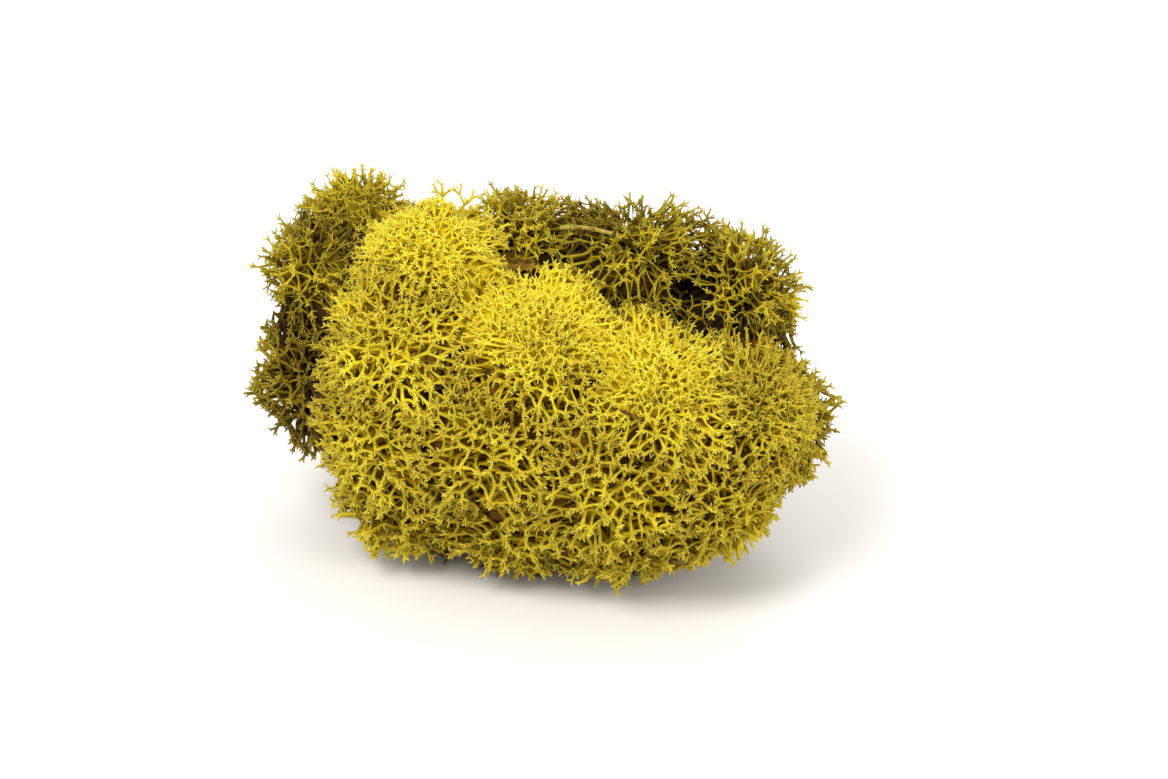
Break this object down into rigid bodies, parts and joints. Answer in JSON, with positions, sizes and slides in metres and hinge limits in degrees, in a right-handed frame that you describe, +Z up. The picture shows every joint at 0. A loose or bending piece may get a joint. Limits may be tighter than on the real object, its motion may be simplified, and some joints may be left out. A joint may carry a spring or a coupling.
{
  "type": "reindeer moss clump",
  "caption": "Dry clump of reindeer moss: rounded yellow heads of finely forked branches, packed on a brown mound of dead stalks, with bits of litter caught in it.",
  "frame": {"origin": "under the middle of the clump's bounding box, at the height of the flat spot it rests on", "axes": "+Z up, +X along the clump's longest side, -Y towards the side that the picture shows"},
  "size_m": [0.1044, 0.0648, 0.0659],
  "materials": {
    "moss_bright": "dry, matt, bright lemon-yellow branches",
    "moss_gold": "dry, matt, golden yellow branches",
    "moss_olive": "dry, matt, olive-yellow branches",
    "moss_dead": "dry, matt, dark brown dead stalks",
    "moss_straw": "dry grass stem",
    "moss_bark": "dry brown twig and leaf"
  },
  "bodies": {
    "root": {"dead_stalk_mound": "moss_dead", "head_crown_left": "moss_bright", "head_middle_left": "moss_bright", "head_low_left": "moss_gold", "head_middle": "moss_bright", "head_right": "moss_bright", "head_far_right": "moss_bright", "head_low_middle": "moss_gold", "head_low_right": "moss_gold", "head_low_far_right": "moss_gold", "head_left_tuft": "moss_olive", "head_left_ridge": "moss_olive", "head_back_middle": "moss_olive", "head_back_right": "moss_olive", "head_back_far_right": "moss_olive", "head_foot_left": "moss_gold", "head_foot_middle": "moss_gold", "head_foot_right": "moss_gold", "head_side_right": "moss_olive", "head_side_left": "moss_olive", "head_rear_left": "moss_olive", "head_rear_middle": "moss_olive", "head_rear_right": "moss_olive", "head_heel_left": "moss_olive", "head_heel_right": "moss_olive", "head_heel_far_right": "moss_olive", "litter_stem": "moss_straw", "litter_twig": "moss_bark", "litter_leaf": "moss_bark"}
  },
  "joints": []
}
